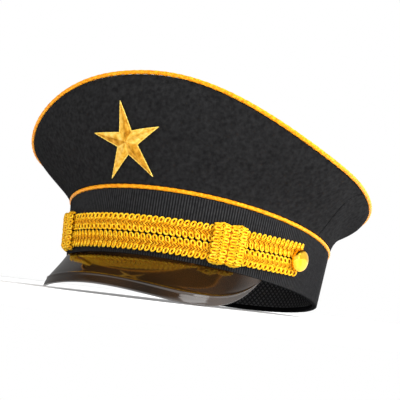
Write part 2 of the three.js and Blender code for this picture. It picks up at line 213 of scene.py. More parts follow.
def taut_wall(turn, share):
    low = band_point(turn, 1)
    high = crown_edge(turn)
    chord = (high - low).length
    out = oval_normal(turn, band_top_width, band_top_length)

    def slope(lean_out):
        return out * (math.sin(lean_out) * chord) + Vector((0, 0, math.cos(lean_out) * chord))

    square = share * share
    cube = square * share
    return (
        low * (2 * cube - 3 * square + 1)
        + slope(tilt_at(turn, "start")) * (cube - 2 * square + share)
        + high * (3 * square - 2 * cube)
        + slope(tilt_at(turn, "end")) * (cube - square)
    )


def surface_normal(surface, first, second):
    along = surface(first + sample_step, second) - surface(first - sample_step, second)
    across = surface(first, second + sample_step) - surface(first, second - sample_step)
    return along.cross(across).normalized()


def crown_wall(turn, share):
    point = taut_wall(turn, share)
    fullness = rear_fullness * rear_share(turn)
    if not fullness:
        return point
    most = (rear_hang / (rear_hang + 1)) ** rear_hang / (rear_hang + 1)
    fullness *= abs(share) ** rear_hang * (1 - share) / most
    return point + surface_normal(taut_wall, turn, share) * fullness


def crown_top(turn, share):
    edge = crown_edge(turn)
    y = between(widest_y, edge.y, share)
    puff = top_puff * (1 - abs(share) ** puff_power)
    return Vector((edge.x * share, y, crown_edge_height(y) + puff))


# %% [markdown]
# Trims are spaced by length, not by angle, so a tape measure is laid along each seam: it gives
# the seam's length and the turn at any length along it.

# %% A tape measure
def tape_along(curve, start, end, marks=720):
    turns = [between(start, end, mark / marks) for mark in range(marks + 1)]
    points = [curve(turn) for turn in turns]
    lengths = [0.0]
    for before, after in zip(points, points[1:]):
        lengths.append(lengths[-1] + (after - before).length)

    def turn_at(length):
        mark = min(max(bisect_right(lengths, length), 1), marks)
        part = (length - lengths[mark - 1]) / (lengths[mark] - lengths[mark - 1])
        return between(turns[mark - 1], turns[mark], part)

    return lengths[-1], turn_at


# %% [markdown]
# Every soft piece is made the way a hatter makes it. It is cut and worked flat on the table,
# in millimetres, with Blender's own modelling tools, and then laid onto the hat, point by point.
# These helpers start a primitive, select parts of it, thicken it, repeat it and lay it.

# %% Choosing and placing
nearly = 1e-3
merge_distance = 1e-4
laid_merge_distance = 2e-5


def choose(*chosen):
    if bpy.context.object and bpy.context.object.mode != "OBJECT":
        bpy.ops.object.mode_set(mode="OBJECT")
    bpy.ops.object.select_all(action="DESELECT")
    for piece in chosen:
        piece.select_set(True)
    if chosen:
        bpy.context.view_layer.objects.active = chosen[0]


def settle(name, size=(1, 1, 1), turned=(0, 0, 0), place=(0, 0, 0)):
    piece = bpy.context.object
    piece.name = name
    piece.data.name = name
    piece.scale = size
    piece.rotation_euler = turned
    piece.location = place
    choose(piece)
    bpy.ops.object.transform_apply(location=True, rotation=True, scale=True)
    return piece


def pick(piece, test, faces=False):
    """Select the points, or the faces by their centres, that pass a test."""
    choose(piece)
    bpy.ops.object.mode_set(mode="EDIT")
    bpy.ops.mesh.select_mode(type="FACE" if faces else "VERT")
    bpy.ops.mesh.select_all(action="DESELECT")
    bpy.ops.object.mode_set(mode="OBJECT")
    for part in piece.data.polygons if faces else piece.data.vertices:
        part.select = test(part.center if faces else part.co)
    bpy.ops.object.mode_set(mode="EDIT")


# %% Flat work
def apply_modifier(piece, kind, **settings):
    modifier = piece.modifiers.new(kind.lower(), kind)
    for name, value in settings.items():
        setattr(modifier, name, value)
    choose(piece)
    bpy.ops.object.modifier_apply(modifier=modifier.name)


def flat_sheet(name, length, height, columns, rows):
    choose()
    bpy.ops.mesh.primitive_grid_add(x_subdivisions=columns, y_subdivisions=rows, size=1)
    return settle(name, size=(length, height, 1), place=(length / 2, height / 2, 0))


def thicken(piece, depth):
    apply_modifier(piece, "SOLIDIFY", thickness=depth, offset=-1)


def round_edges(piece, width, sharper_than):
    apply_modifier(
        piece, "BEVEL", width=width, segments=3, limit_method="ANGLE",
        angle_limit=math.radians(sharper_than),
    )


def repeat(piece, count, step):
    apply_modifier(
        piece, "ARRAY", count=count, use_relative_offset=False, use_constant_offset=True,
        constant_offset_displace=step, use_merge_vertices=True, merge_threshold=merge_distance,
    )


def join(*parts):
    choose(*parts)
    bpy.ops.object.join()
    return parts[0]


def copy_of(piece, matrix):
    twin = piece.copy()
    twin.data = piece.data.copy()
    twin.data.transform(matrix)
    bpy.context.collection.objects.link(twin)
    return twin


def open_ends(piece, length):
    def at_an_end(centre):
        return min(abs(centre.x), abs(centre.x - length)) < merge_distance

    pick(piece, at_an_end, faces=True)
    bpy.ops.mesh.delete(type="ONLY_FACE")
    bpy.ops.object.mode_set(mode="OBJECT")


def cloth_map(piece):
    layer = piece.data.uv_layers.active or piece.data.uv_layers.new(name="cloth")
    for loop in piece.data.loops:
        co = piece.data.vertices[loop.vertex_index].co
        layer.data[loop.index].uv = (co.x, co.y)


# %% Laying and dressing
def lay(piece, place, closed=False):
    for vertex in piece.data.vertices:
        vertex.co = tip_back @ place(*vertex.co)
    choose(piece)
    bpy.ops.object.mode_set(mode="EDIT")
    bpy.ops.mesh.select_all(action="SELECT")
    if closed:
        bpy.ops.mesh.remove_doubles(threshold=laid_merge_distance)
    bpy.ops.mesh.normals_make_consistent(inside=False)
    bpy.ops.object.mode_set(mode="OBJECT")


def dress(piece, material, slot, *nodes, smooth_angle=40):
    choose(piece)
    bpy.ops.object.shade_smooth_by_angle(angle=math.radians(smooth_angle))
    if material:
        piece.data.materials.clear()
        piece.data.materials.append(material)
    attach(piece, "root")
    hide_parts(*nodes)
    faces = sum(len(face.vertices) - 2 for face in piece.data.polygons)
    print(piece.name, "has", faces, "triangles")


# %% [markdown]
# Finishes are small node trees. Each starts from a Principled shader whose fixed numbers sit on
# its own sockets. A noise that reads Object coordinates varies the colour, and a wave or noise
# that reads the cloth's own flat map, in millimetres, gives a bump.

# %% Node helpers
def set_up(tree, node, **settings):
    """Set a node's options and sockets; a socket given as a value is linked."""
    for name, value in settings.items():
        socket = node.inputs.get(name.replace("_", " "))
        if socket is None:
            setattr(node, name, value)
        elif isinstance(value, bpy.types.NodeSocket):
            tree.links.new(value, socket)
        else:
            socket.default_value = value
    return node


def add_node(tree, kind, **settings):
    return set_up(tree, tree.nodes.new(kind), **settings)


def new_finish(name, **settings):
    material = bpy.data.materials.new(name)
    material.use_nodes = True
    tree = material.node_tree
    return material, tree, set_up(tree, tree.nodes["Principled BSDF"], **settings)


def coordinates(tree, output, scale=(1, 1, 1), turned=(0, 0, 0)):
    source = add_node(tree, "ShaderNodeTexCoord").outputs[output]
    mapping = add_node(tree, "ShaderNodeMapping", Vector=source, Scale=scale, Rotation=turned)
    return mapping.outputs["Vector"]


def noise_on(tree, vector, scale, detail):
    texture = add_node(tree, "ShaderNodeTexNoise", Vector=vector, Scale=scale, Detail=detail)
    return texture.outputs["Fac"]


def wave_on(tree, vector, direction="X", distortion=0.0):
    texture = add_node(
        tree, "ShaderNodeTexWave", bands_direction=direction, Vector=vector, Scale=1.0,
        Distortion=distortion,
    )
    return texture.outputs["Fac"]


# %% What the nodes drive
def ramp_of(tree, value, *stops):
    ramp = add_node(tree, "ShaderNodeValToRGB", Fac=value)
    elements = ramp.color_ramp.elements
    for element, (position, colour) in zip(elements, (stops[0], stops[-1])):
        element.position = position
        element.color = (*colour, 1)
    for position, colour in stops[1:-1]:
        elements.new(position).color = (*colour, 1)
    return ramp.outputs["Color"]


def colour_by(tree, shader, value, *stops):
    set_up(tree, shader, Base_Color=ramp_of(tree, value, *stops))


def roughness_by(tree, shader, value, low, high):
    spread = add_node(tree, "ShaderNodeMapRange", Value=value, To_Min=low, To_Max=high)
    set_up(tree, shader, Roughness=spread.outputs["Result"])


def combined(tree, first, second, operation="MULTIPLY"):
    node = add_node(tree, "ShaderNodeMath", operation=operation)
    tree.links.new(first, node.inputs[0])
    tree.links.new(second, node.inputs[1])
    return node.outputs[0]


def bump_by(tree, shader, height, distance):
    bump = add_node(tree, "ShaderNodeBump", Height=height, Distance=distance, Strength=1.0)
    set_up(tree, shader, Normal=bump.outputs["Normal"])


# %% [markdown]
# A wave texture makes one band each pi / 10 units at scale 1, so a pattern of a given pitch
# needs this scale on its mapping.

# %% Pitch of a wave
bands_in_pi = 10


def wave_scale(pitch):
    return (math.pi / bands_in_pi / pitch,) * 3


# %% [markdown]
# The crown is a close black suiting. Seen near, warp and weft cross every 0.4 mm; seen far, it
# is a charcoal with fine pale lint. The band's ribbon has the same threads, and each of its ribs
# is painted a little greyer along its middle and darker at its edges: painted highlight on the
# crest and painted shade in the grooves.

# %% Black cloths
thread_wander = 0.4
lint_scale = 420
gloss_spread = 0.08


def woven_black(name, dark, light, thread, relief, roughness, rib=None):
    material, tree, shader = new_finish(
        name, Sheen_Weight=0.008, Sheen_Roughness=0.5, Specular_IOR_Level=0.0,
    )
    warp, weft = (
        wave_on(tree, coordinates(tree, "UV", wave_scale(thread)), way, thread_wander)
        for way in ("X", "Y")
    )
    weave = combined(tree, warp, weft)
    lint = noise_on(tree, coordinates(tree, "Object"), lint_scale, 6)
    if rib:
        # Painted highlight and shade: a wave at the rib pitch makes each rib lighter along its
        # middle and darker at its edges.
        rib_painted_light = wave_on(tree, coordinates(tree, "UV", wave_scale(rib)), "X")
        colour_by(tree, shader, combined(tree, lint, rib_painted_light), (0.08, dark), (0.5, light))
    else:
        colour_by(tree, shader, lint, (0.3, dark), (0.7, light))
    roughness_by(
        tree, shader, lint, roughness - gloss_spread, min(roughness + gloss_spread, 1),
    )
    bump_by(tree, shader, combined(tree, weave, lint, "ADD"), relief * MM)
    return material


rib_pitch = 1.6
crown_cloth = woven_black(
    "charcoal suiting", (0.0085, 0.0085, 0.0088), (0.0195, 0.0195, 0.02), 0.42, 0.12, 0.9,
)
ribbon_cloth = woven_black(
    "black ribbed ribbon", (0.008, 0.008, 0.0085), (0.028, 0.028, 0.029), 0.3, 0.06, 0.85,
    rib_pitch,
)
binding_cloth = woven_black(
    "black binding tape", (0.004, 0.004, 0.005), (0.009, 0.009, 0.01), 0.5, 0.1, 0.9,
)

# %% [markdown]
# The braid, the piping and the star are wrapped or twisted gold thread: bright yellow where it
# catches the light and deep orange in the folds. A fine diagonal bump stands for the windings.

# %% Gold threads
thread_dulling = 0.1


def gold_thread(name, deep, middle, bright, metal, roughness, winding, turned, relief, grain=700):
    material, tree, shader = new_finish(
        name, Metallic=metal, Specular_IOR_Level=0.4, Specular_Tint=(1, 0.72, 0.3, 1),
    )
    speckle = noise_on(tree, coordinates(tree, "Object"), grain, 2)
    colour_by(tree, shader, speckle, (0.3, deep), (0.48, middle), (0.7, bright))
    roughness_by(tree, shader, speckle, roughness - gloss_spread, roughness + thread_dulling)
    winds = wave_on(tree, coordinates(tree, "UV", winding, (0, 0, turned)), "X")
    bump_by(tree, shader, winds, relief * MM)
    return material


braid_gold = gold_thread(
    "gold gimp cord", (0.8, 0.33, 0.004), (1.0, 0.53, 0.01), (1.0, 0.74, 0.06), 0.35, 0.34,
    (6, 2, 1), 0.6, 0.08,
)
# Painted shade: the plait's legs lie lower between the loops, so they get a darker, more orange
# copy of the braid gold.
plait_gold_painted_shade = gold_thread(
    "gold plait cord painted shade", (0.7, 0.24, 0.003), (0.95, 0.42, 0.006), (1.0, 0.62, 0.03), 0.25, 0.36,
    (6, 2, 1), 0.6, 0.08,
)
piping_gold = gold_thread(
    "gold piping", (0.66, 0.18, 0.002), (0.86, 0.3, 0.006), (0.98, 0.44, 0.02), 0.15, 0.4,
    wave_scale(0.5), 0.7, 0.05,
)
star_gold = gold_thread(
    "gold embroidery", (0.68, 0.33, 0.02), (0.88, 0.52, 0.07), (1.0, 0.72, 0.2), 0.25, 0.42,
    (4, 4, 1), 0.5, 0.04, 380,
)
# A darker copy of the embroidery gold: painted shade for some half arms.
star_gold_painted_shade = gold_thread(
    "gold embroidery painted shade", (0.44, 0.17, 0.006), (0.62, 0.29, 0.018),
    (0.85, 0.48, 0.07), 0.25, 0.5, (4, 4, 1), 0.5, 0.04, 380,
)
star_edging = gold_thread(
    "gold outline cord", (0.9, 0.55, 0.05), (1.0, 0.7, 0.12), (1.0, 0.82, 0.25), 0.3, 0.35,
    (4, 4, 1), 0.5, 0.04,
)
# The backing tape fills in the braid's close thread behind the loops; its deep orange-brown is
# painted shade for the holes.
tape_gold_painted_shade = gold_thread(
    "gold backing tape painted shade", (0.24, 0.06, 0.001), (0.36, 0.1, 0.002), (0.5, 0.16, 0.003), 0.0, 0.6,
    wave_scale(0.6), 0, 0.08,
)

# %% [markdown]
# The buttons are thin brass with a bright gilt, so their finish is almost a mirror, with faint
# rubbing that changes its gloss. The visor is patent plastic: very dark brown-black, very smooth
# and dense enough to mirror the braid, with the long shallow waves that a moulded sheet keeps.
# Its brown is partly the plastic's own and partly a painted reflection of the gold braid.

# %% Gilt and patent
def gilt():
    material, tree, shader = new_finish("gilt brass", Metallic=1.0)
    rubbed = noise_on(tree, coordinates(tree, "Object"), 380, 4)
    colour_by(tree, shader, rubbed, (0.35, (1.0, 0.5, 0.02)), (0.65, (1.0, 0.62, 0.06)))
    roughness_by(tree, shader, rubbed, 0.12, 0.26)
    bump_by(tree, shader, rubbed, 0.02 * MM)
    return material


def patent():
    material, tree, shader = new_finish(
        "patent visor", Coat_Weight=0.1, Coat_Roughness=0.05, IOR=1.85,
    )
    flow = noise_on(tree, coordinates(tree, "Object"), 28, 1)
    dust = noise_on(tree, coordinates(tree, "Object"), 1500, 2)
    # Near-black brown base: partly the plastic's own colour, partly a painted reflection of the
    # gold braid.
    colour_by(tree, shader, flow, (0.35, (0.006, 0.0028, 0.0008)), (0.7, (0.018, 0.0075, 0.0015)))
    roughness_by(tree, shader, dust, 0.05, 0.12)
    bump_by(tree, shader, flow, 0.5 * MM)
    return material


gilt_brass = gilt()
patent_black = patent()

# %% [markdown]
# The lining is a black net over a grey ground. The net is real geometry, so these two finishes
# only need the glint of its plastic thread and the fuzz of the cloth behind.

# %% Net and ground
def plain_thread(name, dark, light, scale, roughness, relief):
    material, tree, shader = new_finish(name)
    fuzz = noise_on(tree, coordinates(tree, "Object"), scale, 4)
    colour_by(tree, shader, fuzz, (0.35, dark), (0.65, light))
    roughness_by(tree, shader, fuzz, roughness - gloss_spread, roughness + gloss_spread)
    bump_by(tree, shader, fuzz, relief * MM)
    return material


net_black = plain_thread("black net", (0.006,) * 3, (0.015, 0.015, 0.017), 900, 0.5, 0.06)
ground_grey = plain_thread("grey ground", (0.1, 0.1, 0.105), (0.24, 0.24, 0.25), 1400, 0.6, 0.12)

# %% [markdown]
# Band. A stiff ribbon with fine upright ribs goes round the head. One rib is cut as a small
# grid, its middle is lifted, and its top edge is extruded back, down and forward again to give
# the ribbon its thickness. The rib is then repeated side by side and laid round the hat.

# %% Ribbed band
rib_relief = 0.3
rib_steps = {0.1: 0.6, 0.4: 0.4}
rib_columns = 4
rib_rows = 8


def band_middle(turn):
    return band_point(turn, 0.5)


band_girth, band_turn_at = tape_along(band_middle, front_turn, front_turn + full_turn)
rib_count = round(band_girth / rib_pitch)
rib_width = band_girth / rib_count

band = flat_sheet("ribbed_band", rib_width, band_height, rib_columns, rib_rows)
for margin, rise in rib_steps.items():
    pick(band, lambda co: margin * rib_width < co.x < (1 - margin) * rib_width)
    bpy.ops.transform.translate(value=(0, 0, rib_relief * rise))
pick(band, lambda co: co.y > band_height - nearly)
back = band_thickness - rib_relief
for shift in ((0, 0, -back), (0, -band_height, 0), (0, 0, back)):
    bpy.ops.mesh.extrude_region_move(TRANSFORM_OT_translate={"value": shift})
bpy.ops.mesh.select_all(action="SELECT")
bpy.ops.mesh.remove_doubles(threshold=merge_distance)
bpy.ops.object.mode_set(mode="OBJECT")
repeat(band, rib_count, (rib_width, 0, 0))
cloth_map(band)


def round_band(x, y, z):
    turn = band_turn_at(x)
    share = y / band_height * (1 - cord_seat / band_rise(turn))
    return band_point(turn, share, z - rib_relief)


lay(band, round_band, closed=True)
dress(band, ribbon_cloth, "ribbed_band", "band", smooth_angle=70)

# %% [markdown]
# Rim binding. A folded black tape finishes the inside of the rim. One short length is a cube
# with its ends taken off and its long edges bevelled round, repeated into a ring.

# %% Rim binding
binding_height = 3.4
binding_thickness = 1.3
binding_roundness = 0.6
binding_steps = 160
lining_seat = -band_thickness - gap

binding_step = band_girth / binding_steps
choose()
bpy.ops.mesh.primitive_cube_add(size=1)
binding = settle(
    "folded_rim_binding", size=(binding_step, binding_height, binding_thickness),
    place=(binding_step / 2, binding_height / 2, 0),
)
open_ends(binding, binding_step)
round_edges(binding, binding_roundness, sharper_than=30)
repeat(binding, binding_steps, (binding_step, 0, 0))
cloth_map(binding)


def inside_rim(x, y, z):
    return band_at_height(band_turn_at(x), y, lining_seat - binding_thickness / 2 + z)


lay(binding, inside_rim, closed=True)
dress(binding, binding_cloth, "binding", "rim_binding")

# %% [markdown]
# Net lining. Grey cloth lines the band and a black net lies on it, cut on the diagonal, so the
# grey shows as rows of small diamonds. One strand of the net is a flattened six-sided length,
# repeated into a diagonal that weaves over and under, and then repeated round the hat twice,
# once leaning each way.

# %% Net lining
lining_height = 29
lining_top_drop = 2
net_pitch_wanted = 4.4
net_width = 1.35
net_thickness = 0.3
net_weave = 0.12
net_depth = -0.66
strand_slant = 0.7
ground_thickness = 0.2
ground_lift = 0.1
net_count = round(band_girth / net_pitch_wanted)
net_pitch = band_girth / net_count
net_rows = round(lining_height / net_pitch * 2)
net_step = lining_height / net_rows


def net_diagonal(name, side):
    choose()
    bpy.ops.mesh.primitive_cylinder_add(
        vertices=6, radius=0.5, depth=1, end_fill_type="NOTHING", rotation=(0, math.pi / 2, 0),
    )
    strand = settle(name, (1, 1, 1), (0, math.pi / 2, 0), (0.5, 0, 0))
    repeat(strand, net_rows, (1, 0, 0))
    for vertex in strand.data.vertices:
        knot = round(vertex.co.x)
        lift = net_weave * side * (1 if knot % 2 else -1)
        lean = knot * net_pitch / 2
        across = vertex.co.y * net_width
        x = (lean + across * strand_slant) * side
        y = knot * net_step - across * strand_slant
        vertex.co = (x, min(max(y, 0), lining_height), vertex.co.z * net_thickness + lift)
    repeat(strand, net_count, (net_pitch, 0, 0))
    return strand


ground = flat_sheet("grey_ground", band_girth, lining_height, columns=144, rows=6)
thicken(ground, ground_thickness)
open_ends(ground, band_girth)
for vertex in ground.data.vertices:
    vertex.co.z += ground_lift
ground.data.materials.append(ground_grey)
net_right = net_diagonal("net_lining", 1)
net_left = net_diagonal("net_leaning_left", -1)
for net in (net_right, net_left):
    net.data.materials.append(net_black)
    for vertex in net.data.vertices:
        vertex.co.z += net_depth
lining = join(net_right, net_left, ground)


def inside_band(x, y, z):
    turn = band_turn_at(x % band_girth if abs(x - band_girth) > merge_distance else x)
    low = binding_height + gap
    high = band_rise(turn) - cord_seat - lining_top_drop
    height = between(low, high, y / lining_height)
    return band_at_height(turn, height, lining_seat - ground_lift + z)


lay(lining, inside_band, closed=True)
dress(lining, None, "mesh_lining", "mesh_lining")

# %% [markdown]
# Crown panels. The wall of the crown is cut in two, a long front and a short rear, that meet in
# slanted seams beside the ears. Each is a flat panel with extra cuts near its edges, where the
# cloth turns under into the seam. It is thickened while flat and then laid on the bulging wall.

# %% Crown wall panels
seam_low_angle = -7.5
seam_high_angle = 2.8
seam_bend = 1.8
panel_height = 45
panel_rows = 16
crown_girth = 660
cloth_ease = 0.8
inner_fold = 0.5
fold_radius = 1.0
piped_fold_radius = 0.25
edge_seat = cord_radius + 0.02
edge_cuts = (0.1, 0.25, 0.45, 0.8, 2.0)
ripple_height = 0.35
ripple_size = 28.0
wall_calm = 10
top_calm = 15


def seam_turn(share):
    return math.radians(between(seam_low_angle, seam_high_angle, max(share, 0) ** seam_bend))


def cut_lines(piece, axis, places):
    normal = [0, 0, 0]
    normal[axis] = 1
    for place in places:
        spot = [0, 0, 0]
        spot[axis] = place
        choose(piece)
        bpy.ops.object.mode_set(mode="EDIT")
        bpy.ops.mesh.select_all(action="SELECT")
        bpy.ops.mesh.bisect(plane_co=spot, plane_no=normal)
        bpy.ops.object.mode_set(mode="OBJECT")


def both_edges(length):
    return [*edge_cuts, *(length - cut for cut in edge_cuts)]


def folded_under(distance, radius=piped_fold_radius):
    inside = min(max(radius - distance, 0), radius)
    return radius - math.sqrt(radius ** 2 - inside ** 2)


def mitre(turn):
    """Where the outside and inside of the wall and the top end, as shares of their length."""
    edge = crown_edge(turn)
    wall_vector = crown_wall(turn, 1 - sample_step) - edge
    top_vector = crown_top(turn, 1 - sample_step) - edge
    angle = wall_vector.angle(top_vector)
    inner = max(crown_thickness * (1 + math.cos(angle)) / math.sin(angle) + gap, edge_seat)
    wall_length = wall_vector.length / sample_step
    top_length = top_vector.length / sample_step
    return {
        "wall": (1 - edge_seat / wall_length, 1 - inner / wall_length),
        "top": (1 - edge_seat / top_length, 1 - inner / top_length),
    }


def ripple(point):
    return noise.noise(point / ripple_size) * ripple_height


# %% Cutting and laying a panel
def crown_panel(name, node, start, end, columns):
    length = ((band_girth + crown_girth) / 2) * (end(0.5) - start(0.5)) / full_turn
    panel = flat_sheet(name, length, panel_height, columns, panel_rows)
    cut_lines(panel, 0, both_edges(length))
    cut_lines(panel, 1, both_edges(panel_height))
    cloth_map(panel)
    thicken(panel, crown_thickness)

    def on_wall(x, y, z):
        up = y / panel_height
        turn = between(start(up), end(up), x / length)
        wall_length = (crown_edge(turn) - band_point(turn, 1)).length
        outer, inner = mitre(turn)["wall"]
        depth = -z / crown_thickness
        along = between(edge_seat / wall_length, between(outer, inner, depth), up)
        normal = surface_normal(crown_wall, turn, along)
        side_edge = min(x, length - x)
        low_edge = min(y, panel_height - y)
        point = crown_wall(turn, along)
        calm = min(side_edge, low_edge, wall_calm) / wall_calm
        sink = max(folded_under(side_edge, fold_radius), folded_under(low_edge))
        sink *= 1 - depth * inner_fold
        return point + normal * (z * cloth_ease - sink - calm * abs(ripple(point)))

    lay(panel, on_wall)
    dress(panel, crown_cloth, "crown_cloth", node, smooth_angle=60)


seam_gap = gap / (band_top_width / 2)
crown_panel(
    "front_crown_panel", "crown_front", lambda up: -math.pi - seam_turn(up), seam_turn, columns=150,
)
crown_panel(
    "rear_crown_panel", "crown_rear", lambda up: seam_turn(up) + seam_gap,
    lambda up: math.pi - seam_turn(up) - seam_gap, columns=110,
)

# %% [markdown]
# Crown top. One round of cloth is stretched over the crown and sewn to the wall under the
# piping. It starts as a filled circle, inset ring by ring to its middle, which is then poked.

# %% Crown top
top_radius = 110
top_sides = 180
top_insets = (0.15, 0.25, 0.35, 0.45, 0.8, 1.5, 3, 4, 5, 6, 7, 8, 8, 9, 9, 9, 9, 9, 9)

choose()
bpy.ops.mesh.primitive_circle_add(vertices=top_sides, radius=top_radius, fill_type="NGON")
top = settle("crown_top_cloth")
bpy.ops.object.mode_set(mode="EDIT")
bpy.ops.mesh.select_all(action="SELECT")
for inset in top_insets:
    bpy.ops.mesh.inset(thickness=inset)
bpy.ops.mesh.poke()
bpy.ops.object.mode_set(mode="OBJECT")
cloth_map(top)
thicken(top, crown_thickness)


def on_top(x, y, z):
    from_middle = math.hypot(x, y)
    turn = math.atan2(y, x)
    if from_middle < nearly:
        return crown_top(front_turn, 0) + Vector((0, 0, z * cloth_ease))
    radius = min(from_middle, top_radius)
    outer, inner = mitre(turn)["top"]
    depth = -z / crown_thickness
    along = radius / top_radius * between(outer, inner, depth)
    normal = -surface_normal(crown_top, turn, along)
    point = crown_top(turn, along)
    sink = folded_under(top_radius - radius) * (1 - depth * inner_fold)
    calm = min(top_radius - radius, top_calm) / top_calm
    return point + normal * (z * cloth_ease - sink + calm * ripple(point))


lay(top, on_top)
dress(top, crown_cloth, "crown_cloth", "crown_top", smooth_angle=60)

# %% [markdown]
# Piping. A strip of gold satin is folded round a cord and caught in the seam. Here it is a flat
# strip too, rolled round the seam's line, with the low twist of the cord showing through.

# %% Piping
piping_sides = 12
piping_step = 0.65
piping_sink = 0.4
twist_pitch = 5.2
twist_relief = 0.07


def piping(name, seam, node):
    length, turn_at = tape_along(seam, front_turn, front_turn + full_turn)
    cord_girth = full_turn * cord_radius
    strip = flat_sheet(name, length, cord_girth, round(length / piping_step), piping_sides)
    cloth_map(strip)
    twists = round(length / twist_pitch)

    def round_cord(x, y, _):
        turn = turn_at(x)
        ahead = (seam(turn + sample_step) - seam(turn - sample_step)).normalized()
        out = ahead.cross(Vector((0, 0, 1))).normalized()
        around = y / cord_girth * full_turn
        ridge = math.cos(2 * around - full_turn * twists * x / length)
        radius = cord_radius - twist_relief + twist_relief * ridge
        return seam(turn) + (out * math.cos(around) + out.cross(ahead) * math.sin(around)) * radius

    lay(strip, round_cord, closed=True)
    dress(strip, piping_gold, "gold_piping", node, smooth_angle=70)


piping("band_piping_cord", lambda turn: band_point(turn, 1, -piping_sink), "band_piping")
piping("crown_piping_cord", crown_edge, "crown_piping")

# %% [markdown]
# Visor. A short patent peak leaves the rim below the band and curves down. It is a flat sheet
# with close cuts where its moulded line runs, thickened and bevelled while flat, and then laid
# on a surface that is widest and lowest in the middle and dies away at both ends. It leaves the
# rim on an easy slope, where it mirrors the braid, and turns down along its edge.

# %% Visor
visor_half_angle = 57
visor_reach = 22
visor_drop = 22.2
visor_thickness = 1.2
visor_flange = 1.3
visor_slope = 0.84
visor_turn_down = 10
visor_span = 0.995
bead_height = 0.55
bead_share = 0.86
bead_half_width = 0.045
reach_power = 1.27
drop_power = 1.11
cheek = 2.1
visor_length = 180
visor_depth = 32
visor_edge_cut = 0.6
visor_edge_roundness = 0.4
visor_root = 0.1
visor_root_sample = 0.02


def visor_surface(across, share):
    turn = from_front(across * visor_half_angle)
    inside = max(1 - across * across, 0)
    reach = gap + visor_reach * inside ** reach_power
    drop = visor_drop * inside ** drop_power * (1 + cheek * across * across)
    fall = visor_slope * share + (1 - visor_slope) * share ** visor_turn_down
    point = band_point(turn, 0, gap + share * reach)
    point.z = -gap - fall * drop
    return point


def bead_at(share):
    away = abs(share - bead_share) / bead_half_width
    return bead_height * math.cos(away * math.pi / 2) ** 2 if away < 1 else 0.0


flange_depth = visor_flange + gap
visor = flat_sheet(
    "glossy_visor", visor_length, visor_depth + flange_depth, columns=110, rows=18,
)
for vertex in visor.data.vertices:
    vertex.co.y -= flange_depth
cut_lines(visor, 1, [0.0, visor_edge_cut] + [
    visor_depth * (bead_share + bead_half_width * (part / 4)) for part in range(-4, 5)
])
cloth_map(visor)
thicken(visor, visor_thickness)
round_edges(visor, visor_edge_roundness, sharper_than=60)


def on_visor(x, y, z):
    spread = 2 * x / visor_length - 1
    across = visor_span * math.sin(spread * math.pi / 2)
    turn = from_front(across * visor_half_angle)
    if y < 0:
        flange = band_point(turn, 0, gap + y)
        flange.z = -gap + z
        return flange
    share = y / visor_depth
    normal = surface_normal(visor_surface, across, min(max(share, visor_root_sample), 1))
    if normal.z < 0:
        normal.negate()
    from_root = min(share / visor_root, 1)
    normal = Vector((0, 0, 1)).lerp(normal, from_root).normalized()
    raised = bead_at(share) * (1 + z / visor_thickness)
    return visor_surface(across, share) + normal * (z + raised)


lay(visor, on_visor)
dress(visor, patent_black, "visor_gloss", "visor", smooth_angle=50)

# %% [markdown]
# Braid rows. Two rows of gold gimp go round the front from button to button. Each row has cord
# loops along both edges and a plait of slanting legs between them, sewn on a narrow tape. One
# repeat is modelled: two rings stretched to ovals, four legs and a bit of tape.

# %% Strap sizes
row_height = 10
row_gap = 0.6
row_thickness = 2.6
strap_low = 2
strap_rise = 6
strap_sweep = 2.2
strap_end_angle = 73
strap_height = 2 * row_height + row_gap
loop_pitch_wanted = 3.7


def strap_middle(turn):
    share = abs(turn - front_turn) / math.radians(strap_end_angle)
    return strap_low + strap_height / 2 + strap_rise * share ** strap_sweep


def strap_line(turn):
    return band_at_height(turn, strap_middle(turn), gap + row_thickness / 2)


strap_length, strap_turn_at = tape_along(
    strap_line, from_front(-strap_end_angle), from_front(strap_end_angle),
)
loop_count = round(strap_length / loop_pitch_wanted)
loop_pitch = strap_length / loop_count
print("strap", round(strap_length, 1), "mm long with", loop_count, "loops an edge")


# %% Cord loops, legs and tape
leg_taper = 0.55


def cord_loop(name, middle, half_width, half_height, cord, turned=0.0):
    radius = min(half_width, half_height)
    choose()
    bpy.ops.mesh.primitive_torus_add(
        major_segments=12, minor_segments=6, major_radius=radius, minor_radius=cord,
    )
    ring = settle(name, turned=(0, 0, math.pi / 12))
    stretch = Vector((half_width - radius, half_height - radius, 0))
    for axis in (0, 1):
        if stretch[axis] < merge_distance:
            continue
        for way in (-1, 1):
            shift = Vector((0, 0, 0))
            shift[axis] = way * stretch[axis]
            pick(ring, lambda co: co[axis] * way > 0)
            bpy.ops.transform.translate(value=shift)
        bpy.ops.object.mode_set(mode="OBJECT")
    ring.data.transform(Matrix.Translation(middle) @ Matrix.Rotation(turned, 4, "Y"))
    return ring


def cord_leg(name, start, end, cord):
    start = Vector(start)
    end = Vector(end)
    choose()
    bpy.ops.mesh.primitive_cylinder_add(vertices=6, radius=cord, depth=1)
    leg = settle(name)
    pick(leg, lambda co: True)
    bpy.ops.mesh.subdivide(number_cuts=1)
    pick(leg, lambda co: abs(co.z) > nearly)
    bpy.ops.transform.resize(value=(leg_taper, leg_taper, 1), center_override=(0, 0, 0))
    bpy.ops.object.mode_set(mode="OBJECT")
    along = end - start
    facing_end = along.to_track_quat("Z", "Y").to_matrix().to_4x4()
    stretch = Matrix.Diagonal((1, 1, along.length, 1))
    leg.data.transform(Matrix.Translation((start + end) / 2) @ facing_end @ stretch)
    return leg


def backing_tape(name, length, height, shift, depth, columns, rows):
    tape = flat_sheet(f"{name}_tape", length, height, columns, rows)
    for vertex in tape.data.vertices:
        vertex.co.x -= shift[0]
        vertex.co.y -= shift[1]
        vertex.co.z = -depth
    # Painted shade: the tape's deep colour is what shows through the holes.
    tape.data.materials.append(tape_gold_painted_shade)
    return tape


